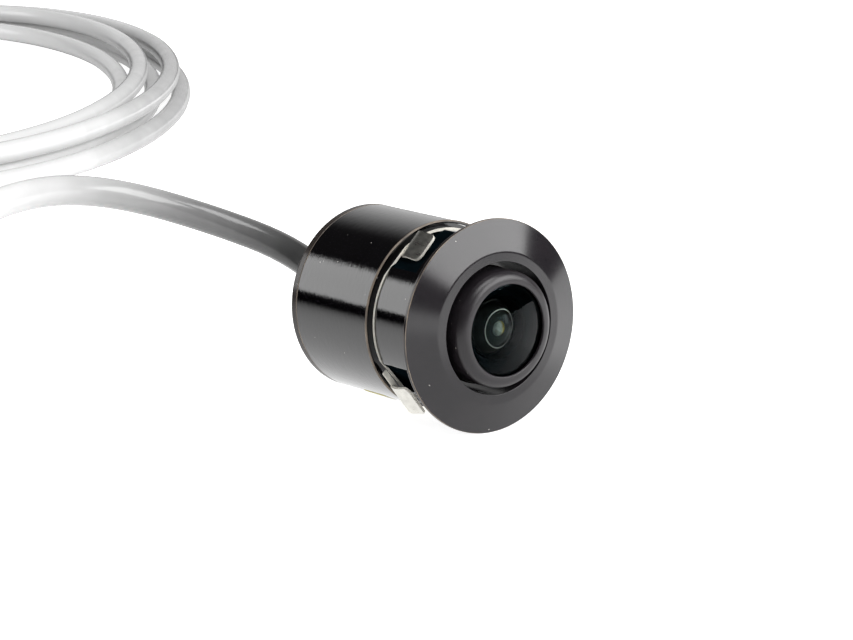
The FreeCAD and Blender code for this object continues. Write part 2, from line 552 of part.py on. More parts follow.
def bent_path(points):
    """Straight runs joined by tangent arcs, each as large as its two runs allow."""
    corners = [FreeCAD.Vector(*point) for point in points]
    edges = []
    radii = []
    start = corners[0]
    for before, corner, after in zip(corners, corners[1:], corners[2:]):
        back = (before - corner).normalize()
        ahead = (after - corner).normalize()
        half_turn = (math.pi - back.getAngle(ahead)) / 2
        reach = 0.45 * min(before.distanceToPoint(corner), corner.distanceToPoint(after))
        radius = reach / math.tan(half_turn)
        arc_start = corner + back * reach
        arc_end = corner + ahead * reach
        middle = (back + ahead).normalize()
        arc_middle = corner + middle * (radius / math.cos(half_turn) - radius)
        edges.append(Part.LineSegment(start, arc_start).toShape())
        edges.append(Part.Arc(arc_start, arc_middle, arc_end).toShape())
        radii.append(round(radius, 1))
        start = arc_end
    edges.append(Part.LineSegment(start, corners[-1]).toShape())
    return Part.Wire(edges), radii


def tube(label, points):
    """The lead's round jacket along a route."""
    path, radii = bent_path(points)
    radius = size("lead_radius")
    start = FreeCAD.Vector(*points[0])
    heading = FreeCAD.Vector(*points[1]) - start
    section = Part.Wire(Part.Circle(start, heading, radius).toShape())
    solid = path.makePipeShell([section], True, False)
    thing = doc.addObject("Part::Feature", label)
    thing.Shape = solid
    share = solid.Volume / (math.pi * radius ** 2 * path.Length)
    print(f"{label}: length {path.Length:.1f}, volume share {share:.4f}, radii {radii}")
    return subpart(thing, label)


tube("camera_lead", LEAD_ROUTE)
tube("lead_tail", TAIL_ROUTE)


def oval(name, width_words, length_words):
    """An upright oval block of the coil's height, lying along the coil's heading."""
    outline = doc.addObject("Part::Ellipse", name + "_outline")
    bind(outline, MajorRadius=f"({length_words}) / 2", MinorRadius=f"({width_words}) / 2")
    outline.Placement = FreeCAD.Placement(
        FreeCAD.Vector(0, 0, 0), FreeCAD.Rotation(Z, 90 - size("coil_heading")))
    bind(outline, Placement__Base__x="coil_x", Placement__Base__y="coil_y",
         Placement__Base__z=f"-({FLANGE_RADIUS})")
    thing = doc.addObject("Part::Extrusion", name)
    thing.Base = outline
    thing.DirMode = "Normal"
    thing.Solid = True
    return bind(thing, LengthFwd="coil_height")


subpart(cut("lead_coil", oval("coil_outside", "coil_width", "coil_length"),
            oval("coil_inside", "coil_width - 2 * coil_ring_width",
                 "coil_length - 2 * coil_ring_width")), "lead_coil")

# ---------------------------------------------------------------- plug


def lay_down(thing):
    """Turn a piece modelled along Y so that it points along -X on the plug's axis."""
    thing.Placement = FreeCAD.Placement(FreeCAD.Vector(0, 0, 0), FreeCAD.Rotation(Z, 90))
    return bind(thing, Placement__Base__x="plug_x", Placement__Base__y="plug_y",
                Placement__Base__z=f"plug_radius - ({FLANGE_RADIUS})")


GRIP_REAR = "relief_length + grip_length"
PLUG_END = f"{GRIP_REAR} + shell_length"
SHELL_RADIUS = "plug_radius - shell_step"
HOLLOW_RADIUS = f"{SHELL_RADIUS} - shell_wall"
GROOVE_FRONT = f"{GRIP_REAR} + seal_groove_offset"
GROOVE_REAR = f"{GROOVE_FRONT} + seal_groove_width"
GROOVE_RADIUS = f"{SHELL_RADIUS} - seal_groove_depth"

subpart(lay_down(turned("plug_strain_relief", [
    (GRIP_RADIUS, "0"), ("lead_radius + relief_wall", "0"),
    ("lead_radius + relief_root_wall", "relief_length"),
    ("0", "relief_length"), ("0", "relief_overlap"), (GRIP_RADIUS, "relief_overlap")])),
    "plug_strain_relief")
grip = turned("plug_body", [
    ("0", "relief_length"), ("plug_radius", "relief_length"), ("plug_radius", GRIP_REAR),
    (SHELL_RADIUS, GRIP_REAR), (SHELL_RADIUS, GROOVE_FRONT), (GROOVE_RADIUS, GROOVE_FRONT),
    (GROOVE_RADIUS, GROOVE_REAR), (SHELL_RADIUS, GROOVE_REAR), (SHELL_RADIUS, PLUG_END),
    (HOLLOW_RADIUS, PLUG_END), (HOLLOW_RADIUS, GRIP_REAR), ("0", GRIP_REAR)])
subpart(lay_down(round_edge(grip, "plug_radius", "relief_length", "plug_round")), "plug_body")


def contacts(name, radius, length):
    """The plug's round contacts, evenly spaced on their circle."""
    pieces = []
    for i in range(int(size("contact_count"))):
        turn = f"({i} + 0.5) * 360 deg / contact_count"
        pieces.append(rod(f"{name}_{i}", radius, GRIP_REAR, length,
                          x=f"contact_circle * cos({turn})", z=f"contact_circle * sin({turn})"))
    return group(name, pieces)


insert_disc = rod("insert_disc", f"{HOLLOW_RADIUS} - slip_gap", GRIP_REAR, "insert_thickness")
insert_holes = contacts("insert_holes", "contact_radius + stack_gap", "insert_thickness")
subpart(lay_down(cut("plug_insert", insert_disc, insert_holes)), "plug_insert")
subpart(lay_down(contacts("plug_pins", "contact_radius", "contact_length")), "plug_pins")

plug_seal = doc.addObject("Part::Torus", "plug_seal")
bind(plug_seal, Radius1=f"{GROOVE_RADIUS} + plug_seal_radius + stack_gap",
     Radius2="plug_seal_radius")
plug_seal.Placement = FreeCAD.Placement(FreeCAD.Vector(0, 0, 0), FreeCAD.Rotation(Y, 90))
subpart(bind(plug_seal, Placement__Base__x=f"plug_x - ({GROOVE_FRONT} + {GROOVE_REAR}) / 2",
             Placement__Base__y="plug_y", Placement__Base__z=f"plug_radius - ({FLANGE_RADIUS})"),
        "plug_seal")

# ---------------------------------------------------------------- checks and STEP files

doc.recompute()
for thing in doc.Objects:
    if {"Invalid", "Error"} & set(thing.State):
        raise RuntimeError(f"{thing.Name} is {thing.State}")
for thing in SUBPARTS:
    if thing.Shape.isNull() or not thing.Shape.isValid():
        raise RuntimeError(f"{thing.Label} has no valid shape")

os.makedirs("parts", exist_ok=True)
for thing in SUBPARTS:
    thing.Shape.exportStep(f"parts/{thing.Label}.step")
print(f"{len(SUBPARTS)} sub-parts written")
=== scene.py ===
"""Looks of a flush-mount reversing camera: flange, spring clip, lens, housing and coiled lead.

Sizes are written in millimetres and scaled to metres as a piece is made. The lens looks along -Y.
"""
import bmesh
import bpy
import math
from mathutils import Matrix, Vector


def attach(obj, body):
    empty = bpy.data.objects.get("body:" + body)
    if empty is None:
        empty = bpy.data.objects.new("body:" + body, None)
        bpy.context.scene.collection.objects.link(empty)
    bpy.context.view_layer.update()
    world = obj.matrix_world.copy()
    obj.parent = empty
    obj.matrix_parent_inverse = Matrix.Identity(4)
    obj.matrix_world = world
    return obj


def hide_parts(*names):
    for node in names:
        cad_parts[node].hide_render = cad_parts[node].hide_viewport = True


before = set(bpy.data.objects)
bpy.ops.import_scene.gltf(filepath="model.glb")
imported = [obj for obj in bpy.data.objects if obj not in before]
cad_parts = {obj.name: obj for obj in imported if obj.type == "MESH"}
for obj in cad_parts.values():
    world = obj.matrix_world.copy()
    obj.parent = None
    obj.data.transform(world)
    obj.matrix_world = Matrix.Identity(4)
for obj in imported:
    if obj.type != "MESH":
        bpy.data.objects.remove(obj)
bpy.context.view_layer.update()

MM = 0.001
TURN = 2 * math.pi


# ---------------------------------------------------------------- materials

def srgb(code):
    """A hex colour as linear RGBA."""
    values = [int(code[i:i + 2], 16) / 255 for i in (1, 3, 5)]
    return [v / 12.92 if v <= 0.04045 else ((v + 0.055) / 1.055) ** 2.4 for v in values] + [1.0]


def add(tree, kind, inputs=(), **settings):
    """Add a node, set its properties, and set or link its sockets by name or number."""
    node = tree.nodes.new("ShaderNode" + kind)
    for key, value in settings.items():
        setattr(node, key, value)
    for key, value in dict(inputs).items():
        if isinstance(value, bpy.types.NodeSocket):
            tree.links.new(value, node.inputs[key])
        else:
            node.inputs[key].default_value = value
    return node


def surface(name, **sockets):
    """A Principled material and its tree; socket names are written with underscores."""
    material = bpy.data.materials.new(name)
    material.use_nodes = True
    tree = material.node_tree
    tree.nodes.clear()
    shader = add(tree, "BsdfPrincipled",
                 {key.replace("_", " "): value for key, value in sockets.items()})
    output = add(tree, "OutputMaterial", {"Surface": shader.outputs[0]})
    place = add(tree, "TexCoord").outputs["Object"]
    material.diffuse_color = shader.inputs["Base Color"].default_value[:]
    return material, tree, shader, output, place


def per_mm(size):
    """Texture scale, in cells to the metre, of a pattern whose cell is that many mm."""
    return 1 / (size * MM)


def noise(tree, place, size, detail=2.0, roughness=0.5):
    """A noise pattern whose cells are that many mm across."""
    return add(tree, "TexNoise", {"Vector": place, "Scale": per_mm(size), "Detail": detail,
                                  "Roughness": roughness}).outputs["Fac"]


def spread(tree, value, low, high, start=0.3, end=0.7):
    """Map a pattern's middle range onto low to high."""
    return add(tree, "MapRange", {"Value": value, "From Min": start, "From Max": end,
                                  "To Min": low, "To Max": high}).outputs[0]


def blend_colours(tree, factor, first, second):
    """Mix two colours, each a value or a socket, by a factor."""
    node = add(tree, "Mix", data_type="RGBA")
    for index, value in ((0, factor), (6, first), (7, second)):
        if isinstance(value, bpy.types.NodeSocket):
            tree.links.new(value, node.inputs[index])
        else:
            node.inputs[index].default_value = value
    return node.outputs[2]


def bump(tree, shader, height, distance):
    """Raise the surface by a pattern, whose full height is the distance in mm."""
    node = add(tree, "Bump", {"Height": height, "Distance": distance * MM})
    tree.links.new(node.outputs[0], shader.inputs["Normal"])
    return node


DUST_SIZE, DUST_PITCH = 0.042, 1.05     # mm
BARE_CELLS = 0.55       # the share of cells with no speck in them


def dust(tree, place, size, pitch):
    """Sparse specks of settled dust: a speck in some of the cells of that pitch in mm."""
    cells = add(tree, "TexVoronoi", {"Vector": place, "Scale": per_mm(pitch)})
    near = add(tree, "Math", {0: cells.outputs["Distance"], 1: size / pitch},
               operation="LESS_THAN").outputs[0]
    chosen = add(tree, "SeparateColor", {0: cells.outputs["Color"]}).outputs[0]
    kept = add(tree, "Math", {0: chosen, 1: BARE_CELLS}, operation="GREATER_THAN").outputs[0]
    return add(tree, "Math", {0: near, 1: kept}, operation="MULTIPLY").outputs[0]


def black_metal(name, colour, speck, rough, grain, height, marks=0, **sockets):
    """Black finish over turned aluminium: fine grain, dust specks, and turning marks below it."""
    material, tree, shader, _, place = surface(name, Base_Color=srgb(colour), **sockets)
    pattern = noise(tree, place, grain, 3.0)
    specks = dust(tree, place, DUST_SIZE, DUST_PITCH)
    tone = blend_colours(tree, spread(tree, noise(tree, place, 2.5), 0, 1), srgb(colour),
                         srgb(speck))
    tree.links.new(blend_colours(tree, specks, tone, srgb("#e8e4dc")), shader.inputs["Base Color"])
    tree.links.new(spread(tree, pattern, *rough), shader.inputs["Roughness"])
    relief = bump(tree, shader, pattern, height)
    if marks:
        stretched = add(tree, "Mapping", {"Vector": place, "Scale": (0.2, 1, 0.2)}).outputs[0]
        lines = noise(tree, stretched, 0.2, 3.0, 0.6)
        turned_lines = bump(tree, shader, lines, marks)
        tree.links.new(relief.outputs[0], turned_lines.inputs["Normal"])
        tree.links.new(turned_lines.outputs[0], shader.inputs["Coat Normal"])
    return material


# Black anodised aluminium, bead blasted and dyed: satin, faintly purple where light grazes it.
# The 0.12 mm grain is drawn coarser than the blast's 0.03 mm so that it shows at all.
bezel_anodised = black_metal("black_anodised_aluminium", "#1c1a1d", "#211e21", (0.13, 0.19), 0.12,
                             0.0010, IOR=1.6)
# Gloss black lacquer over turned aluminium: mirror-like, with the slow waviness of sprayed paint.
# The turning marks run round it under the paint and fray the edges of what it mirrors.
lacquer = black_metal("gloss_black_lacquer", "#050406", "#070608", (0.05, 0.09), 1.6, 0.0012,
                      marks=0.012, IOR=1.5, Coat_Weight=1.0, Coat_Roughness=0.03, Coat_IOR=1.5)
# Gloss black ABS, injection moulded: a shade browner and softer than the lacquer beside it.
cap_abs = black_metal("gloss_black_abs", "#2b2624", "#332d2a", (0.16, 0.24), 0.9, 0.0012,
                      IOR=1.52)
# Black anodised lens barrel, fine turned: satin with a fine grain; the faint rings that the tool
# leaves are not drawn.
barrel_anodised = black_metal("turned_black_aluminium", "#1d1a1d", "#242024", (0.3, 0.4), 0.1,
                              0.0010, IOR=1.6)


def steel(name, colour, rough, grain_long, grain_across, metallic=1.0):
    """Sheet steel with rolling marks along its length."""
    material, tree, shader, _, place = surface(name, Base_Color=srgb(colour), Metallic=metallic)
    stretched = add(tree, "Mapping", {"Vector": place, "Scale": (1, grain_across, 1)})
    pattern = noise(tree, stretched.outputs[0], grain_long, 4.0)
    tree.links.new(spread(tree, pattern, *rough), shader.inputs["Roughness"])
    tone = spread(tree, noise(tree, place, 0.8, 3.0), 0, 1)
    darker = [c * 0.8 for c in srgb(colour)[:3]] + [1.0]
    tree.links.new(blend_colours(tree, tone, srgb(colour), darker), shader.inputs["Base Color"])
    bump(tree, shader, pattern, 0.0015)
    return material


# Rolled spring steel: sheet with a soft sheen. Its sheared edge is a torn band that scatters light
# as a matt surface does, so it isn't given a metal's reflection; its bright cream-white is a
# painted highlight for the light that the edge catches.
spring_steel = steel("rolled_spring_steel", "#f6f4ec", (0.25, 0.36), 0.25, 0.2)
sheared_edge_highlight = steel("sheared_edge_painted_highlight", "#fffbf0", (0.35, 0.5), 0.12, 3.0, metallic=0.0)
# Edges where the black finish has rubbed thin over the aluminium, brownish to cream, and a painted
# highlight: the thin bright lines along the rims are painted in this pale colour.
worn_edge_and_highlight = black_metal("worn_edge_and_painted_highlight", "#8d8072", "#4a423c", (0.3, 0.45), 0.5, 0.001,
                        IOR=1.5)
tinned_steel = steel("tin_plated_steel", "#b8b8b6", (0.25, 0.35), 0.3, 1.0)
zinc_steel = steel("zinc_plated_steel", "#a5a6a8", (0.3, 0.4), 0.3, 1.0)
gold_plate = steel("gold_plated_brass", "#d9b25e", (0.16, 0.26), 0.3, 1.0)


def optical(name, tint, **sockets):
    """Polished glass with a coating: clear body, weak tinted reflection."""
    material, tree, shader, _, place = surface(
        name, Base_Color=srgb(tint), Transmission_Weight=1.0, **sockets)
    rough = spread(tree, noise(tree, place, 1.2), 0.0, 0.015)
    tree.links.new(rough, shader.inputs["Roughness"])
    return material


# Optical glass, ground and polished. Its anti-reflection layers leave a weak blue-green glint, so
# the specular tint carries what they let back and the index stays that of the glass.
front_glass = optical("coated_optical_glass", "#e4eeea", IOR=1.5,
                      Specular_Tint=srgb("#1f343d"))
lens_glass = optical("polished_optical_glass", "#e2f0ea", IOR=1.5,
                     Specular_Tint=srgb("#4f6a62"))
filter_glass = optical("blue_filter_glass", "#a9dbe6", IOR=1.5)


# The inner lens cell's edge: a hairline of pale aluminium colour, a painted highlight for the
# bright ring that shows inside the lens.
inner_ring_highlight = steel("inner_ring_painted_highlight", "#d9d8d4", (0.3, 0.4), 0.3, 1.0, metallic=0.2)


def painted_reflection_dome(name):
    """Coated glass over the sensor's filter, with a painted reflection: grey-green on one side,
    amber on the other, clouded darker.
    """
    material, tree, shader, _, place = surface(name, Base_Color=srgb("#5d6660"), IOR=1.5,
                                               Roughness=0.12)
    across = add(tree, "SeparateXYZ", {0: place}).outputs[0]
    side = spread(tree, across, 0, 1, -0.1 * MM, 0.3 * MM)
    tone = blend_colours(tree, side, srgb("#9aa19d"), srgb("#a08a3c"))
    cloudy = spread(tree, noise(tree, place, 0.5, 3.0), 0.0, 0.5, 0.4, 0.6)
    tree.links.new(blend_colours(tree, cloudy, tone, srgb("#3b4038")), shader.inputs["Base Color"])
    return material


dome_reflection = painted_reflection_dome("dome_painted_reflection")


def moulded(name, colour, other, rough, grain, height, **sockets):
    """Dull moulded or cast stuff: mottled colour and a fine texture."""
    material, tree, shader, _, place = surface(name, Base_Color=srgb(colour), **sockets)
    pattern = noise(tree, place, grain, 4.0, 0.6)
    mottle = spread(tree, noise(tree, place, grain * 6), 0, 1)
    tree.links.new(blend_colours(tree, mottle, srgb(colour), srgb(other)),
                   shader.inputs["Base Color"])
    tree.links.new(spread(tree, pattern, *rough), shader.inputs["Roughness"])
    bump(tree, shader, pattern, height)
    return material


# Optical black: matt ink on lens edges and matt black spacers, which swallow stray light.
lens_ink = moulded("matt_black_lens_ink", "#050a0d", "#071014", (0.6, 0.75), 0.3, 0.0001,
                   IOR=1.45, Specular_IOR_Level=0.0)
spacer_black = moulded("matt_black_acetal", "#09090a", "#0d0d0e", (0.5, 0.65), 0.3, 0.001,
                       IOR=1.48, Specular_IOR_Level=0.2)
spacer_green = moulded("dark_green_anodised_spacer", "#121814", "#0c120f", (0.5, 0.6), 0.3, 0.001,
                       IOR=1.5, Specular_IOR_Level=0.1)
# The round of the clip, which lies in the groove: coloured near black as painted shade for the
# dark of the groove.
shaded_clip_round = moulded("clip_round_painted_shade", "#070606", "#0b0a0a", (0.5, 0.6), 0.25, 0.001,
                      IOR=1.5, Specular_IOR_Level=0.15)
nylon = moulded("glass_filled_nylon", "#222223", "#2b2b2c", (0.45, 0.6), 0.2, 0.006, IOR=1.53)
rubber = moulded("moulded_nitrile_rubber", "#1b1b1c", "#222222", (0.5, 0.65), 0.15, 0.004,
                 IOR=1.52)
compound = moulded("potting_epoxy", "#1f1f20", "#292929", (0.35, 0.6), 0.5, 0.02, IOR=1.55)
board_green = moulded("green_solder_mask", "#0f4a2b", "#135433", (0.25, 0.35), 0.4, 0.004,
                      IOR=1.5)
chip_epoxy = moulded("moulded_chip_epoxy", "#161617", "#1c1c1d", (0.45, 0.6), 0.08, 0.003,
                     IOR=1.55)
ceramic = moulded("grey_ceramic", "#6d6d70", "#77777a", (0.4, 0.5), 0.15, 0.002, IOR=1.6)
wire_red = moulded("red_wire_insulation", "#9c2018", "#a92a20", (0.35, 0.45), 0.3, 0.003,
                   IOR=1.5)
# Label stock: pale yellow coated paper with a faint fibre.
label_stock = moulded("yellow_label_stock", "#f4e9a4", "#f8efb4", (0.5, 0.6), 0.15, 0.004,
                      IOR=1.45)
plug_pvc = moulded("moulded_black_pvc", "#1d1d1f", "#242426", (0.35, 0.48), 0.2, 0.004, IOR=1.52)


PAINTED_HAZE_SLOPE = (18.78, -13.5, 0)     # what the black gains by the metre along X and Y
BLACK_AT_LENS = 1.14                # the black at the origin, where 1 or more is all black


def jacket(name):
    """Extruded soft PVC: black and glossy at the housing, under a painted haze of glare that makes
    it paler towards the coil.
    """
    material, tree, shader, _, place = surface(name, Base_Color=srgb("#202022"), IOR=1.5,
                                               Coat_Weight=0.35, Coat_Roughness=0.15)
    fine = noise(tree, place, 0.25, 3.0, 0.6)
    # What shows of the black, which thins evenly across the plan as the painted haze grows.
    plan = add(tree, "VectorMath", {0: place, 1: PAINTED_HAZE_SLOPE},
               operation="DOT_PRODUCT").outputs["Value"]
    black = add(tree, "Math", {0: plan, 1: BLACK_AT_LENS}, operation="ADD").outputs[0]
    patchy = spread(tree, noise(tree, place, 6.0, 3.0), -0.03, 0.03)
    uneven = add(tree, "Math", {0: black, 1: patchy}, operation="ADD").outputs[0]
    level = add(tree, "MapRange", {"Value": uneven, "From Min": 0.08, "From Max": 0.9,
                                   "To Min": 0.87, "To Max": 0.12}).outputs[0]
    shade = add(tree, "CombineColor", {0: level, 1: level, 2: level}).outputs[0]
    painted_haze_colour = add(tree, "Gamma", {0: shade, 1: 2.2}).outputs[0]
    tree.links.new(painted_haze_colour, shader.inputs["Base Color"])
    tree.links.new(spread(tree, fine, 0.13, 0.2), shader.inputs["Roughness"])
    bump(tree, shader, fine, 0.002)
    return material


jacket_pvc = jacket("extruded_soft_pvc")


# ---------------------------------------------------------------- making pieces

def piece(bm, name, materials, body="root", place=None, sharp=32, slot=None, replaces=()):
    """Finish a bmesh as an object that rides on a body and stands for its CAD nodes."""
    if place is not None:
        bmesh.ops.transform(bm, matrix=place, verts=bm.verts)
    bmesh.ops.transform(bm, matrix=Matrix.Scale(MM, 4), verts=bm.verts)
    mesh = bpy.data.meshes.new(name)
    bm.to_mesh(mesh)
    bm.free()
    for material in materials if isinstance(materials, (list, tuple)) else [materials]:
        mesh.materials.append(material)
    mesh.shade_smooth()
    mesh.set_sharp_from_angle(angle=math.radians(sharp))
    thing = bpy.data.objects.new(name, mesh)
    bpy.context.scene.collection.objects.link(thing)
    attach(thing, body)
    if replaces:
        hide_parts(*replaces)
    return thing


def section(bm, corners, closed):
    """A half section through corners (radius, station[, rounding[, segments]]) in mm."""
    verts = [bm.verts.new((corner[0], corner[1], 0)) for corner in corners]
    ends = verts[1:] + verts[:1] if closed else verts[1:]
    for a, b in zip(verts, ends):
        bm.edges.new((a, b))
    for corner, vert in zip(corners, verts):
        if len(corner) > 2 and corner[2]:
            bmesh.ops.bevel(bm, geom=[vert], offset=corner[2], offset_type="OFFSET",
                            segments=corner[3] if len(corner) > 3 else 4, profile=0.5,
                            affect="VERTICES", material=-1)
    # A short edge at each end of a long run holds its shading straight.
    for edge in [e for e in bm.edges if e.calc_length() > 0.4]:
        for vert in edge.verts[:]:
            run = max(vert.link_edges, key=lambda e: e.calc_length())
            bmesh.utils.edge_split(run, vert, 0.04 / run.calc_length())


def turned(corners, closed=True, steps=160):
    """A bmesh turned about Y from its half section."""
    bm = bmesh.new()
    section(bm, corners, closed)
    bmesh.ops.spin(bm, geom=bm.verts[:] + bm.edges[:], cent=(0, 0, 0), axis=(0, 1, 0),
                   dvec=(0, 0, 0), angle=TURN, steps=steps, use_merge=True)
    bmesh.ops.remove_doubles(bm, verts=bm.verts, dist=1e-5)
    bmesh.ops.recalc_face_normals(bm, faces=bm.faces)
    return bm


def mark(bm, index, inner, outer, low, high):
    """Give a second finish to the faces that lie between two radii and two stations."""
    for face in bm.faces:
        middle = face.calc_center_median()
        if inner < math.hypot(middle.x, middle.z) < outer and low < middle.y < high:
            face.material_index = index


def curved(radius, curve, vertex, side):
    """Corners of a spherical face from axis to rim: side is 1 where the rim lies rearward."""
    half = math.asin(radius / curve)
    reach = curve * math.tan(half / 2)
    rim = vertex + side * (curve - curve * math.cos(half))
    return [(0, vertex), (reach, vertex, reach * 0.999, 14)], rim


def carve(thing, cutters):
    """Cut other objects out of a piece and drop them."""
    for cutter in cutters:
        thing.modifiers.new("cut", "BOOLEAN").object = cutter
    bpy.context.view_layer.update()
    whole = bpy.data.meshes.new_from_object(
        thing.evaluated_get(bpy.context.evaluated_depsgraph_get()))
    thing.modifiers.clear()
    thing.data = whole
    for cutter in cutters:
        bpy.data.objects.remove(cutter)
    whole.shade_smooth()
    whole.set_sharp_from_angle(angle=math.radians(32))


def block(low, high):
    """A box between two corners, in mm."""
    bm = bmesh.new()
    bmesh.ops.create_cube(bm, size=1)
    centre = (Vector(low) + Vector(high)) / 2
    bmesh.ops.scale(bm, vec=Vector(high) - Vector(low), verts=bm.verts)
    bmesh.ops.translate(bm, vec=centre, verts=bm.verts)
    return bm


def loose(bm, name):
    """An object that is used up by another one."""
    bmesh.ops.transform(bm, matrix=Matrix.Scale(MM, 4), verts=bm.verts)
    mesh = bpy.data.meshes.new(name)
    bm.to_mesh(mesh)
    bm.free()
    thing = bpy.data.objects.new(name, mesh)
    bpy.context.scene.collection.objects.link(thing)
    return thing


TAB_ANGLES = {"clip_tab_upper": 113.7, "clip_tab_lower": 233.7, "clip_tab_side": 353.7}


def facing(angle):
    """The turn about the lens axis that brings +Z to face that angle."""
    return Matrix.Rotation(math.radians(90 - angle), 4, "Y")


# ---------------------------------------------------------------- bezel and housing

bezel_form = turned([
    (10.3, -0.35, 0.06), (7.3, -1.47, 0.12), (6.37, -1.56, 0.07), (6.37, 0.9), (5.72, 0.9),
    (5.72, 1.9), (6.3, 1.9), (6.3, 8.4), (7.1, 8.4), (7.1, 11.0, 0.1), (8.0, 11.0, 0.15),
    (8.0, 7.05), (8.2, 7.05), (8.2, 0.0), (10.3, 0.0, 0.06)], steps=240)
mark(bezel_form, 1, 8.15, 8.25, -0.05, 7.1)
# The rim's outer edge gets the worn pale colour: partly rubbed finish, partly a painted highlight.
mark(bezel_form, 2, 10.235, 10.2975, -0.4, 0.05)
bezel = piece(bezel_form, "bezel", [bezel_anodised, lacquer, worn_edge_and_highlight], slot="bezel_black",
              replaces=["front_bezel"])
pockets = []
for tab, angle in TAB_ANGLES.items():
    cutter = block((-6, 3.2, 7.4), (6, 8.15, 9.2))
    bmesh.ops.transform(cutter, matrix=facing(angle), verts=cutter.verts)
    pockets.append(loose(cutter, "pocket_" + tab))
carve(bezel, pockets)
# The pockets are given matt black lens ink inside: painted shade for recesses where neither
# lacquer nor light reaches.
bezel.data.materials.append(lens_ink)
for face in bezel.data.polygons:
    centre = face.center / MM
    if 3.1 < centre.y < 8.2 and 7.3 < math.hypot(centre.x, centre.z) < 7.99:
        face.material_index = 3

housing_form = turned([
    (9.1, 7.23, 0.14), (8.78, 7.23, 0.05), (8.78, 8.15), (8.05, 8.15), (8.05, 11.01),
    (8.2, 11.01), (8.2, 18.27), (9.1, 18.27, 0.07)], steps=240)
# Thin rings at the housing's front and rear edges get the worn pale colour: partly rubbed finish,
# partly a painted highlight.
mark(housing_form, 1, 8.95, 9.0985, 7.2, 7.36)
mark(housing_form, 1, 9.03, 9.0992, 18.19, 18.3)
housing = piece(housing_form, "rear_housing", [lacquer, worn_edge_and_highlight], slot="housing_black",
                replaces=["rear_body"])
housing.visible_glossy = False      # the neck's lacquer mirrors the floor right up to the clip
cap_form = turned([
    (2.4, 19.21, 0.08), (2.4, 18.27), (7.15, 18.27), (7.15, 17.5), (8.15, 17.5), (8.15, 18.27),
    (9.1, 18.27, 0.07), (9.1, 19.21, 0.25, 5)], steps=240)
# The cap's front edge gets the same ring: partly rubbed finish, partly a painted highlight.
mark(cap_form, 1, 9.03, 9.0992, 18.25, 18.34)
piece(cap_form, "rear_end_cap", [cap_abs, worn_edge_and_highlight], slot="cap_black", replaces=["rear_cap"])
piece(turned([
    (1.45, 17.91), (3.2, 17.91), (3.2, 18.25), (2.38, 18.25), (2.38, 19.23), (2.9, 19.23, 0.08),
    (2.9, 19.53, 0.2), (1.45, 19.53, 0.08)]),
    "lead_grommet", rubber, slot="seal_rubber", replaces=["cable_grommet"])

# ---------------------------------------------------------------- spring clip

SHEET = 0.28            # thickness of the clip's steel, mm
BAND_FRONT, BAND_WIDTH, BAND_RADIUS = 7.05, 0.95, 8.4
FOLD = 6.89             # station of the leaves' folds
LEAF_LENGTH = 2.55
CORNER = 0.7            # rounding of a leaf's tip
RIPPLE = 0.13           # how far a leaf's sheet waves in and out along its length

# A round of sheet on edge, with a flat where each leaf is folded from it.
band = bmesh.new()
bmesh.ops.create_circle(band, cap_ends=True, segments=240, radius=BAND_RADIUS,
                        matrix=Matrix.Rotation(-math.pi / 2, 4, "X"))
for angle, reach in ((134, 8.22), (222, 8.05), (353.7, 7.75)):
    outward = facing(angle) @ Vector((0, 0, 1))
    bmesh.ops.bisect_plane(band, geom=band.verts[:] + band.edges[:] + band.faces[:],
                           plane_co=outward * reach, plane_no=outward, clear_outer=True)
rim = bmesh.ops.inset_region(band, faces=band.faces[:], thickness=SHEET, use_boundary=True,
                             use_even_offset=True)
bmesh.ops.delete(band, geom=[f for f in band.faces if f not in rim["faces"]], context="FACES")
wall = bmesh.ops.extrude_face_region(band, geom=band.faces[:])["geom"]
bmesh.ops.translate(band, vec=(0, BAND_WIDTH, 0),
                    verts=[v for v in wall if isinstance(v, bmesh.types.BMVert)])
bmesh.ops.translate(band, vec=(0, BAND_FRONT, 0), verts=band.verts)
bmesh.ops.recalc_face_normals(band, faces=band.faces)
band.normal_update()
# The band's round is near black, painted shade for the groove; its front and back faces get the
# pale sheared-edge colour, a painted highlight.
for face in band.faces:
    face.material_index = 1 if abs(face.normal.y) > 0.9 else 0
piece(band, "clip_band", [shaded_clip_round, sheared_edge_highlight], slot="clip_steel",
      replaces=["clip_ring"])

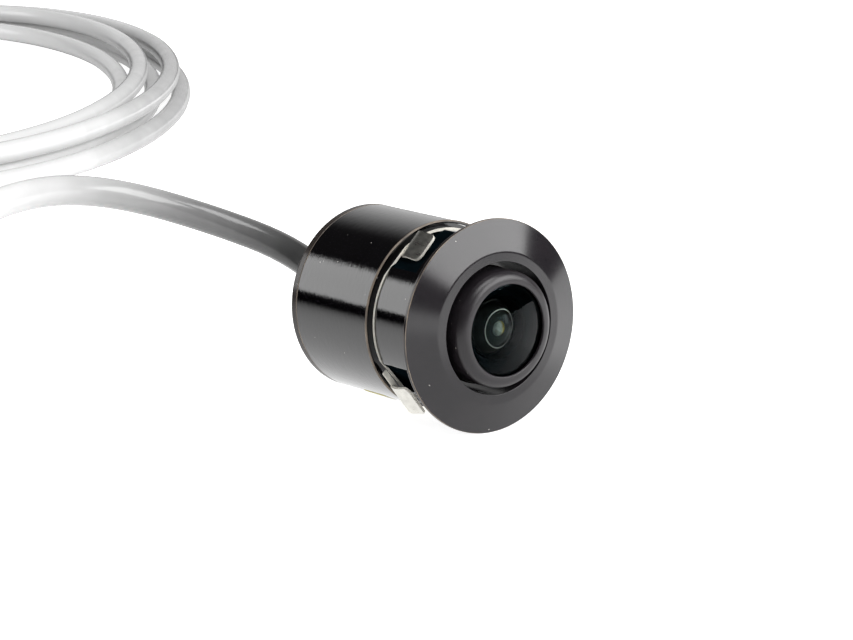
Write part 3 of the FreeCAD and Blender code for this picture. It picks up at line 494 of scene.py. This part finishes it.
# Each leaf's fold as seen from the front (x, z), the way it faces, its splay in degrees and half
# its width. The upper and lower leaves stand off the even spacing of the CAD's hinges.
LEAVES = {"clip_tab_upper": ((-3.95, 7.30), 135.4, 0.0, 1.52),
          "clip_tab_lower": ((-5.19, -7.54), 218.3, -2.0, 1.73),
          "clip_tab_side": ((7.56, -0.84), 353.7, 24.0, 2.0)}
for tab, (fold, angle, splay, half) in LEAVES.items():
    leaf = block((-half, -LEAF_LENGTH, -SHEET / 2), (half, 0.0, SHEET / 2))
    tip = [e for e in leaf.edges if all(v.co.y < -2 for v in e.verts)
           and abs(e.verts[0].co.z - e.verts[1].co.z) > 0.2]
    bmesh.ops.bevel(leaf, geom=tip, offset=CORNER, offset_type="OFFSET", segments=8,
                    profile=0.5, affect="EDGES", material=-1)
    for i in range(1, 16):
        bmesh.ops.bisect_plane(leaf, geom=leaf.verts[:] + leaf.edges[:] + leaf.faces[:],
                               plane_co=(0, -0.16 * i, 0), plane_no=(0, 1, 0))
    # The leaf's cut edges get the pale sheared-edge colour, a painted highlight.
    for face in leaf.faces:
        face.material_index = 0 if abs(face.normal.z) > 0.9 else 1
    for vert in leaf.verts:
        run = -vert.co.y / LEAF_LENGTH
        vert.co.z += RIPPLE * math.sin(TURN * run * 0.98) * (1 - 0.35 * run)
    root = bmesh.new()
    bmesh.ops.create_cone(root, cap_ends=True, segments=24, radius1=SHEET / 2,
                          radius2=SHEET / 2, depth=2 * half,
                          matrix=Matrix.Rotation(math.pi / 2, 4, "Y"))
    roll = bpy.data.meshes.new("roll")
    root.to_mesh(roll)
    root.free()
    leaf.from_mesh(roll)
    place = (Matrix.Translation((fold[0], FOLD, fold[1])) @ facing(angle)
             @ Matrix.Rotation(math.radians(-splay), 4, "X"))
    piece(leaf, tab + "_leaf", [spring_steel, sheared_edge_highlight], body=tab, place=place,
          slot="clip_steel", replaces=[tab])

# The web that carries the lower leaf stands out past the round, bent up from the same sheet.
web_fold, web_angle, _, web_half = LEAVES["clip_tab_lower"]
# The web is all in the pale sheared-edge colour, a painted highlight.
web = block((-web_half, 0.02, -0.55), (web_half + 1.7, 0.16, -0.02))
piece(web, "clip_web_lower", sheared_edge_highlight, slot="clip_steel",
      place=Matrix.Translation((web_fold[0], FOLD, web_fold[1])) @ facing(web_angle))

# ---------------------------------------------------------------- lens

nose_form = turned([
    (4.42, -2.86, 0.1, 3), (5.62, -2.9, 1.02, 12), (5.62, 2.6), (6.0, 2.6), (6.0, 10.6),
    (3.55, 10.6), (3.55, -0.02), (3.0, -0.02), (3.0, -0.42), (5.05, -0.42), (5.05, -2.5),
    (4.42, -2.6)], steps=200)
mark(nose_form, 1, 2.9, 5.1, -2.55, 0.0)
piece(nose_form, "lens_nose", [barrel_anodised, lens_ink], slot="barrel_black",
      replaces=["lens_barrel"])


def glass(name, material, radius, front, rear, front_curve, hollow=None, rear_curve=None,
          **links):
    """A lens element: domed front, hollow or domed rear, edge and rear land inked black."""
    face, rim = curved(radius, front_curve, front, 1)
    corners = face + [(radius, rim)]
    if hollow:
        curve, depth = hollow
        hollow_radius = math.sqrt(2 * curve * depth - depth * depth)
        back, _ = curved(hollow_radius, curve, rear - depth, 1)
        corners += [(radius, rear), (hollow_radius, rear)] + back[::-1]
    elif rear_curve:
        back, rear_rim = curved(radius, rear_curve, rear, -1)
        corners += [(radius, rear_rim)] + back[::-1]
    else:
        corners += [(radius, rear), (0, rear)]
    bm = turned(corners, closed=False, steps=128)
    for face in bm.faces:
        centre = face.calc_center_median()
        reach = math.hypot(centre.x, centre.z)
        edge = abs(face.normal.y) < 0.2 and reach > radius * 0.9
        land = bool(hollow) and face.normal.y > 0.99 and reach > hollow_radius
        face.material_index = 1 if edge or land else 0
    return piece(bm, name, [material, lens_ink], sharp=20, **links)


glass("front_glass", front_glass, 5.0, -3.13, -0.45, 15.0, hollow=(3.6, 1.75),
      slot="front_glass", replaces=["front_lens"])
glass("second_glass", lens_glass, 3.5, 0.01, 1.61, 9.0, hollow=(3.4, 0.68),
      slot="lens_glass", replaces=["lens_element_two"])
glass("third_glass", lens_glass, 3.5, 3.51, 5.31, 9.0, rear_curve=9.0, slot="lens_glass",
      replaces=["lens_element_three"])
glass("fourth_glass", lens_glass, 3.5, 6.11, 7.91, 8.0, slot="lens_glass",
      replaces=["lens_element_four"])

# The second group's cell stands up into the hollow of the front glass: a black cone with a pale
# edge, a painted highlight, round a small dome over the sensor's filter, whose grey-green and
# amber are a painted reflection.
cell_form = turned([
    (2.98, -0.36), (2.98, -0.06), (1.8, -0.06), (1.8, -1.1), (1.88, -1.3), (1.92, -1.3),
    (2.4, -0.85, 0.1), (2.8, -0.4)], steps=128)
# The ring at the cell's edge is a painted highlight.
mark(cell_form, 1, 1.86, 1.95, -1.35, -1.27)
piece(cell_form, "inner_cell", [spacer_black, inner_ring_highlight], slot="barrel_black")
DOME_RADIUS = 0.86
dome, _ = curved(DOME_RADIUS, 1.05, -1.5, 1)
dome_form = turned(dome + [(DOME_RADIUS, -0.9), (0, -0.9)], closed=False, steps=96)
piece(dome_form, "inner_dome", dome_reflection, slot="lens_glass")
piece(turned([(0, -0.95), (1.8, -0.95), (1.8, -0.85), (0, -0.85)], closed=False, steps=96),
      "inner_land", spacer_green, slot="lens_glass")

# ---------------------------------------------------------------- lead

LEAD = [(0, 17, 0), (0, 23.6, 0), (-0.3, 31.4, 2.9), (-5.2, 37.6, 5.5), (-13, 41.2, 8.4),
        (-21.5, 40.4, 10.1), (-30, 37, 10.4), (-39, 31.5, 9.8), (-49, 27.3, 7.6),
        (-60, 25.5, 3.6), (-70.5, 28, -1.2), (-77.8, 36, -5.8), (-80.5, 47.5, -8.8),
        (-80, 60, -8.8), (-76.5, 74, -8.8), (-70.5, 88, -8.8), (-62, 102, -8.8),
        (-51.5, 115, -8.8), (-39, 126.5, -8.8), (-25, 136.5, -8.8), (-10.5, 143, -8.8),
        (3.5, 145.8, -8.8), (13, 144, -8.8)]
TAIL = [(8.5, 199, -8.8), (3, 187.5, -8.8), (-6.5, 177, -8.8), (-20, 169.5, -8.8),
        (-35, 165, -5.9), (-50, 165, -5.9)]
COIL_CENTRE = Vector((67, 226, 0))
COIL_LONG = Vector((math.sin(math.radians(36)), math.cos(math.radians(36)), 0))
COIL_SHORT = Vector((COIL_LONG.y, -COIL_LONG.x, 0))
# How far each turn lies outside the coil's middle line, and its height, along the winding.
COIL_LAY = [(0.0, 7.4, -8.8), (0.35, 5.0, -8.8), (0.9, 3.2, -8.8), (1.4, 0.4, -8.8),
            (1.9, -1.2, -8.8), (2.4, -5.2, -8.8), (2.75, -4.2, -6.2), (3.1, -1.8, -5.8),
            (3.6, 0.6, -5.8), (4.1, 2.6, -5.8), (4.5, 6.6, -6.6), (4.7, 7.8, -8.4),
            (5.0, 7.6, -8.8)]
COIL_HALF_LENGTH, COIL_HALF_WIDTH = 91, 38.5
COIL_TURNS = 5
COIL_ENTRY, COIL_EXIT = 0.10, 1.10      # radians short of whole turns, for the run in and out
POINTS_PER_TURN = 16


def coil_points():
    """The coil's turns, from where the lead joins its near end to where the tail leaves it."""
    start = math.pi - COIL_ENTRY
    turns = COIL_TURNS - COIL_EXIT / TURN
    count = int(turns * POINTS_PER_TURN)
    for i in range(1, count):
        done = turns * i / count
        for (a, low, z0), (b, high, z1) in zip(COIL_LAY, COIL_LAY[1:]):
            if a <= done <= b:
                share = (done - a) / (b - a)
                outward, height = low + (high - low) * share, z0 + (z1 - z0) * share
        angle = start - TURN * done
        point = (COIL_CENTRE + COIL_LONG * (COIL_HALF_LENGTH + outward) * math.cos(angle)
                 + COIL_SHORT * (COIL_HALF_WIDTH + outward) * math.sin(angle))
        yield (point.x, point.y, height)


def route(name, points, radius, material):
    """A round cord on one smooth line through the neighbourhood of its points."""
    curve = bpy.data.curves.new(name, "CURVE")
    curve.dimensions = "3D"
    curve.bevel_depth = radius * MM
    curve.bevel_resolution = 5
    curve.resolution_u = 6
    curve.use_fill_caps = True
    spline = curve.splines.new("NURBS")
    spline.points.add(len(points) - 1)
    for target, point in zip(spline.points, points):
        target.co = (*(Vector(point) * MM), 1)
    spline.order_u = 3
    spline.use_endpoint_u = True
    curve.materials.append(material)
    thing = bpy.data.objects.new(name, curve)
    bpy.context.scene.collection.objects.link(thing)
    return thing


lead = route("lead", LEAD + list(coil_points()) + TAIL, 1.5, jacket_pvc)
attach(lead, "root")
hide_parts("camera_lead", "lead_coil", "lead_tail")
lead.visible_glossy = False     # the lacquer mirrors the lamp behind it, not the lead

# ---------------------------------------------------------------- plug

plug_place = Matrix.Translation((-47, 165, -5.9)) @ Matrix.Rotation(math.pi / 2, 4, "Z")
RELIEF_LENGTH, RELIEF_THIN, RELIEF_THICK = 12, 2.15, 3.25
GROOVE_DEPTH = 0.3
slope = (RELIEF_THICK - RELIEF_THIN) / RELIEF_LENGTH
ribs = [(1.47, 0), (RELIEF_THIN, 0, 0.1)]
for i in range(4):
    near, far = 1.6 + 2.5 * i, 3.0 + 2.5 * i
    for station, depths in ((near, (0, GROOVE_DEPTH)), (far, (GROOVE_DEPTH, 0))):
        ribs += [(RELIEF_THIN - depth + slope * station, station, 0.08) for depth in depths]
ribs += [(RELIEF_THICK, RELIEF_LENGTH), (0, RELIEF_LENGTH), (0, 3), (1.47, 3)]
relief = piece(turned(ribs, closed=False, steps=64), "plug_relief", plug_pvc, place=plug_place,
               slot="jacket_black", replaces=["plug_strain_relief"])
grip = piece(turned([
    (0, 12), (4.4, 12, 0.6, 6), (4.4, 26, 0.3), (3.9, 26), (3.9, 27), (3.4, 27), (3.4, 28),
    (3.9, 28), (3.9, 34, 0.15), (2.9, 34, 0.1), (2.9, 26), (0, 26)], closed=False, steps=96),
    "plug_grip", plug_pvc, place=plug_place, slot="jacket_black", replaces=["plug_body"])

# ---------------------------------------------------------------- finishes of the CAD's own solids

FINISHES = {
    rubber: ["front_seal", "body_gasket", "plug_seal"],
    nylon: ["lens_holder"],
    spacer_black: ["lens_spacer_front", "aperture_stop", "lens_spacer_rear", "lens_retainer",
                   "board_spacer", "rear_spacer"],
    filter_glass: ["ir_filter"],
    lens_glass: ["sensor_cover_glass"],
    ceramic: ["image_sensor", "capacitors"],
    board_green: ["sensor_board", "main_board"],
    zinc_steel: ["holder_screws"],
    gold_plate: ["board_pins", "plug_pins"],
    chip_epoxy: ["image_processor"],
    tinned_steel: ["crystal"],
    compound: ["sealing_compound"],
    wire_red: ["conductor_wires"],
    label_stock: ["inspection_sticker"],
    plug_pvc: ["plug_insert"],
}
for material, nodes in FINISHES.items():
    for node in nodes:
        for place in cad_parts[node].material_slots:
            place.material = material

# ---------------------------------------------------------------- floor, light and camera

FLOOR = -10.3
floor_mesh = bpy.data.meshes.new("table")
table = bmesh.new()
bmesh.ops.create_grid(table, x_segments=1, y_segments=1, size=3.0)
bmesh.ops.translate(table, vec=(0, 0, FLOOR * MM), verts=table.verts)
table.to_mesh(floor_mesh)
table.free()
floor = bpy.data.objects.new("table", floor_mesh)
bpy.context.scene.collection.objects.link(floor)

# Matt white table: full white to the eye. In reflections it shows painted light, an emission:
# white near the object, whiter on the lamp's side, and dark far out behind, where the studio's
# unlit side begins.
paper, tree, shader, output, place = surface("matt_white_table", Base_Color=srgb("#e6e6e6"),
                                             Roughness=0.8)
grain = noise(tree, place, 30.0)
tree.links.new(blend_colours(tree, grain, srgb("#e4e4e4"), srgb("#e9e9e9")),
               shader.inputs["Base Color"])
rays = add(tree, "LightPath")
away = add(tree, "VectorMath", {0: place, 1: (0.5, -0.35, 0)}, operation="DISTANCE")
near_white = add(tree, "MapRange", {"Value": away.outputs["Value"], "From Min": 0.645,
                                    "From Max": 0.755, "To Min": 1.0, "To Max": 0.0},
                 interpolation_type="SMOOTHSTEP").outputs[0]
lamp_side = add(tree, "VectorMath", {0: place, 1: (0.9, -0.44, 0)}, operation="DOT_PRODUCT")
lamp_white = add(tree, "MapRange", {"Value": lamp_side.outputs["Value"], "From Min": 0.012,
                                    "From Max": 0.030, "To Min": 1.0, "To Max": 1.7},
                 interpolation_type="SMOOTHSTEP").outputs[0]
mirrored = add(tree, "Math", {0: near_white, 1: lamp_white}, operation="MULTIPLY").outputs[0]
mirror = add(tree, "Emission", {"Color": (1, 1, 1, 1), "Strength": mirrored})
glowing = add(tree, "MapRange", {"Value": rays.outputs["Is Camera Ray"], "To Min": 0.3,
                                 "To Max": 0.85}).outputs[0]
glow = add(tree, "Emission", {"Color": (1, 1, 1, 1), "Strength": glowing})
lit = add(tree, "AddShader", {0: shader.outputs[0], 1: glow.outputs[0]})
glossy = add(tree, "Math", {0: rays.outputs["Is Glossy Ray"],
                            1: rays.outputs["Is Transmission Ray"]}, operation="MAXIMUM")
both = add(tree, "MixShader", {0: glossy.outputs[0], 1: lit.outputs[0], 2: mirror.outputs[0]})
tree.links.new(both.outputs[0], output.inputs["Surface"])
floor_mesh.materials.append(paper)

world = bpy.data.worlds.new("studio")
bpy.context.scene.world = world
world.use_nodes = True
tree = world.node_tree
tree.nodes.clear()


def direction(azimuth, elevation):
    """Unit vector at that azimuth, from +Y towards +X, and elevation, in degrees."""
    a, e = math.radians(azimuth), math.radians(elevation)
    return Vector((math.sin(a) * math.cos(e), math.cos(a) * math.cos(e), math.sin(e)))


# White surroundings to the eye; in reflections a dark room with a soft white wall behind, right.
rays = add(tree, "LightPath")
way = add(tree, "TexCoord").outputs["Generated"]
to_wall = add(tree, "VectorMath", {0: way, 1: direction(48, 8)},
              operation="DOT_PRODUCT").outputs["Value"]
wall = add(tree, "MapRange", {"Value": to_wall, "From Min": math.cos(math.radians(50)),
                              "From Max": math.cos(math.radians(14)), "To Min": 0.02,
                              "To Max": 0.62}, interpolation_type="SMOOTHSTEP").outputs[0]
room = add(tree, "Background", {"Color": (1, 1, 1, 1), "Strength": wall})
fill = add(tree, "Background", {"Color": (1, 1, 1, 1), "Strength": 0.5})
white = add(tree, "Background", {"Color": (1, 1, 1, 1), "Strength": 1.0})
glossy = add(tree, "Math", {0: rays.outputs["Is Glossy Ray"],
                            1: rays.outputs["Is Transmission Ray"]}, operation="MAXIMUM")
first = add(tree, "MixShader", {0: glossy.outputs[0], 1: fill.outputs[0], 2: room.outputs[0]})
last = add(tree, "MixShader", {0: rays.outputs["Is Camera Ray"], 1: first.outputs[0],
                               2: white.outputs[0]})
output = add(tree, "OutputWorld", {"Surface": last.outputs[0]})


def softbox(name, azimuth, elevation, distance, width, height, power):
    """A soft rectangular lamp, sizes in metres, that faces the object."""
    data = bpy.data.lights.new(name, "AREA")
    data.shape = "RECTANGLE"
    data.size, data.size_y = width, height
    data.energy = power
    lamp = bpy.data.objects.new(name, data)
    spot = direction(azimuth, elevation)
    lamp.location = spot * distance
    lamp.rotation_euler = (-spot).to_track_quat("-Z", "Y").to_euler()
    lamp.visible_camera = False
    bpy.context.scene.collection.objects.link(lamp)
    return lamp


softbox("strip_rear_left", -38, 15.3, 0.8, 0.45, 0.36, 1.1)
softbox("key_front_right", 148, 30, 0.8, 0.815, 0.52, 6.0)
softbox("high_front", 178, 70, 0.8, 0.55, 0.35, 2.6)

bpy.context.scene.view_settings.view_transform = "Standard"

camera = bpy.data.objects.new("camera", bpy.data.cameras.new("camera"))
bpy.context.scene.collection.objects.link(camera)
camera.location = Vector((-199.95, -242.03, 65.9)) * MM
camera.rotation_euler = Vector((0.6093, 0.7663, -0.2038)).to_track_quat("-Z", "Y").to_euler()
camera.data.lens = 143.3
camera.data.sensor_width = 36
camera.data.clip_start = 0.01
bpy.context.scene.camera = camera
